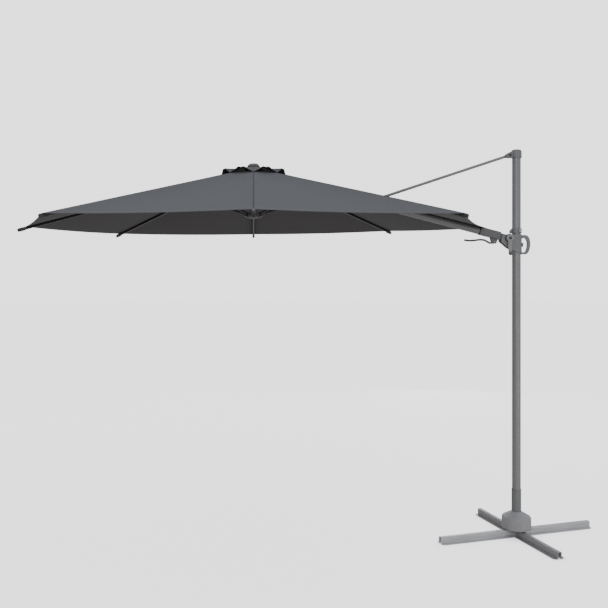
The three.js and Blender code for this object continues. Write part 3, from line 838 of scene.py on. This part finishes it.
def build_arm_tab():
    """The webbing tab that holds the canopy's corner down on the arm's bracket."""
    up_arm = Vector((-math.cos(ARM_SLOPE), 0, math.sin(ARM_SLOPE)))
    normal = Vector((math.sin(ARM_SLOPE), 0, math.cos(ARM_SLOPE)))
    rows = [(0.142, 0.004), (0.147, 0.011), (0.165, 0.0145), (0.2, 0.017)]  # along the arm, half width
    height = 0.0265
    grid = []
    for along, half in rows:
        centre = ARM_ROOT + up_arm * along + normal * height
        grid.append([centre + Vector((0, half * (c / 4 - 1), 0)) for c in range(9)])
    made = webbing_sheet("arm_corner_tab", grid, 0.0014)
    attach(made, "bracket")


def build_strut_window():
    """A bound edge round the slot for the strut's lug."""
    start, end, half = strut_window()
    width, corners = 0.008, []
    for x, side in ((start, -1), (end, -1), (end, 1), (start, 1)):
        for out in (-0.0004, width):
            reach = x + (out if x == end else -out)
            z = fabric_height(0, reach) + FABRIC_THICKNESS * 0.9
            corners.append(CROWN + Vector((reach, side * (half + out), z)))
    points = corners + [corner + Vector((0, 0, 0.0018)) for corner in corners]
    faces = []
    for i in range(4):
        a, b = 2 * i, 2 * ((i + 1) % 4)
        faces.append((a, a + 1, b + 1, b))
        faces.append((a + 8, b + 8, b + 9, a + 9))
        faces.append((a, b, b + 8, a + 8))
        faces.append((b + 1, a + 1, a + 9, b + 9))
    made = mesh_object("strut_window_binding", points, faces, [MATERIALS["webbing"]], smooth=False)
    gather(made, 0)


def build_details():
    for number in range(1, RIB_COUNT):
        rib_cap(number)
        corner_pocket(number)
    build_pivots()
    build_screws()
    build_arm_tab()
    build_strut_window()


# ---- Stage ----

FLOOR_HALF = 30
FLOOR_HEIGHT = -0.0005  # just under the object, so that the two don't coincide
FLOOR_BOUNCE = 0.3  # what the floor already reflects of the lights
BACKDROP_GLOW = 2.3  # what the camera sees behind the object
SKY_ABOVE = (1.05, 1.08, 1.14)
SKY_BELOW = (0.6, 0.59, 0.58)
SKY_LEFT = (0.85, 0.85, 0.85)  # share of the light that is left far to the left


def floor_paint():
    """Pale grey that shines like the backdrop, with a painted contact shadow: it is darker close to the
    object, by ambient occlusion.
    """
    made = Nodes("floor")
    tone = made.colours(made.spread(made.noise(0.5), 0, 1), (0.24,) * 3, (0.26,) * 3)
    made.finish(tone, 0.9, made.bump(made.noise(60), 0.0002), 0, 0.1)
    # Ambient occlusion lowers the floor's emission near the object: a painted contact shadow.
    near = made.add("ShaderNodeAmbientOcclusion", {"Distance": 0.12})
    contact_shadow_glow = {"Value": near.outputs["AO"], "From Min": 0.35, "From Max": 0.95}
    contact_shadow_glow.update({"To Min": 0.9, "To Max": BACKDROP_GLOW - FLOOR_BOUNCE})
    made.shader.inputs["Emission Color"].default_value = (1, 1, 1, 1)
    strength = made.add("ShaderNodeMapRange", contact_shadow_glow).outputs["Result"]
    made.set(made.shader, "Emission Strength", strength)
    return made.material


def build_floor():
    size = FLOOR_HALF
    edges = ((-size, -size), (size, -size), (size, size), (-size, size))
    corners = [Vector((x, y, FLOOR_HEIGHT)) for x, y in edges]
    floor = mesh_object("floor", corners, [(0, 1, 2, 3)], [floor_paint()], smooth=False)
    floor.visible_diffuse = False
    floor.visible_glossy = False


def ramp_node(nodes, first, last):
    """A colour ramp between two stops, each a place and a colour."""
    made = nodes.new("ShaderNodeValToRGB")
    for stop, (place, colour) in zip(made.color_ramp.elements, (first, last)):
        stop.position = place
        stop.color = (*colour, 1)
    return made


def sky_colour(nodes, links):
    """The light's colour: by height, times a share by how far left it comes from."""
    split = nodes.new("ShaderNodeSeparateXYZ")
    links.new(nodes.new("ShaderNodeTexCoord").outputs["Generated"], split.inputs["Vector"])
    by_height = ramp_node(nodes, (0.0, SKY_BELOW), (0.9, SKY_ABOVE))
    links.new(split.outputs["Z"], by_height.inputs["Fac"])
    across_sky = nodes.new("ShaderNodeMapRange")
    across_sky.inputs["From Min"].default_value = -1.0
    links.new(split.outputs["X"], across_sky.inputs["Value"])
    by_side = ramp_node(nodes, (0.05, SKY_LEFT), (0.55, (1, 1, 1)))
    links.new(across_sky.outputs["Result"], by_side.inputs["Fac"])
    both = nodes.new("ShaderNodeMix")
    both.data_type = "RGBA"
    both.blend_type = "MULTIPLY"
    both.inputs[MIX_FACTOR].default_value = 1.0
    links.new(by_height.outputs["Color"], both.inputs[MIX_FIRST])
    links.new(by_side.outputs["Color"], both.inputs[MIX_SECOND])
    return both.outputs[MIX_RESULT]


def build_world():
    """An even backdrop for what the camera sees, and a soft sky for what lights the object."""
    world = bpy.data.worlds.new("studio")
    world.use_nodes = True
    nodes, links = world.node_tree.nodes, world.node_tree.links
    seen = nodes["Background"]
    seen.inputs["Color"].default_value = (1, 1, 1, 1)
    seen.inputs["Strength"].default_value = BACKDROP_GLOW
    lit = nodes.new("ShaderNodeBackground")
    lit.inputs["Strength"].default_value = 1.0
    links.new(sky_colour(nodes, links), lit.inputs["Color"])
    mix = nodes.new("ShaderNodeMixShader")
    links.new(nodes.new("ShaderNodeLightPath").outputs["Is Camera Ray"], mix.inputs["Fac"])
    links.new(lit.outputs["Background"], mix.inputs[1])
    links.new(seen.outputs["Background"], mix.inputs[2])
    links.new(mix.outputs["Shader"], nodes["World Output"].inputs["Surface"])
    bpy.context.scene.world = world


def area_light(name, place, target, size, power, colour=(1, 1, 1)):
    data = bpy.data.lights.new(name, "AREA")
    data.shape = "RECTANGLE"
    data.size, data.size_y = size
    data.energy = power
    data.color = colour
    made = bpy.data.objects.new(name, data)
    bpy.context.scene.collection.objects.link(made)
    made.location = place
    made.rotation_euler = (Vector(target) - Vector(place)).to_track_quat("-Z", "Y").to_euler()


def build_lights():
    area_light("key_front", (-1.9, -5.2, 3.6), (-1.7, -0.9, 2.1), (1.6, 1.2), 26, (0.92, 0.96, 1.0))
    area_light("key_back", (-1.9, 5.2, 3.6), (-1.7, 0.9, 2.1), (1.6, 1.2), 22, (0.92, 0.96, 1.0))
    area_light("fill_mast", (-0.9, -5.5, 1.5), (0, 0, 1.0), (1.2, 2.5), 38)
    area_light("fill_back", (0.9, 5.5, 1.5), (0, 0, 1.0), (1.2, 2.5), 38)
    area_light("low_right", (2.5, -3.0, 0.5), (-2.6, 0, 2.1), (1.5, 1), 22, (1.0, 0.97, 0.95))


def build_camera():
    """The lens and shift give the photograph's framing: level, with the horizon below the canopy."""
    data = bpy.data.cameras.new("camera")
    data.sensor_width = 36
    data.lens = 45.06
    data.shift_x = 0.083
    data.shift_y = -0.067
    data.clip_end = 60
    made = bpy.data.objects.new("camera", data)
    bpy.context.scene.collection.objects.link(made)
    made.location = (CROWN.x, -4.85, 1.731)
    made.rotation_euler = (math.pi / 2, 0, 0)
    bpy.context.scene.camera = made


build_camera()
build_world()
build_lights()
build_floor()
dress_nodes()
build_canopy()
build_vent_flap()
build_details()
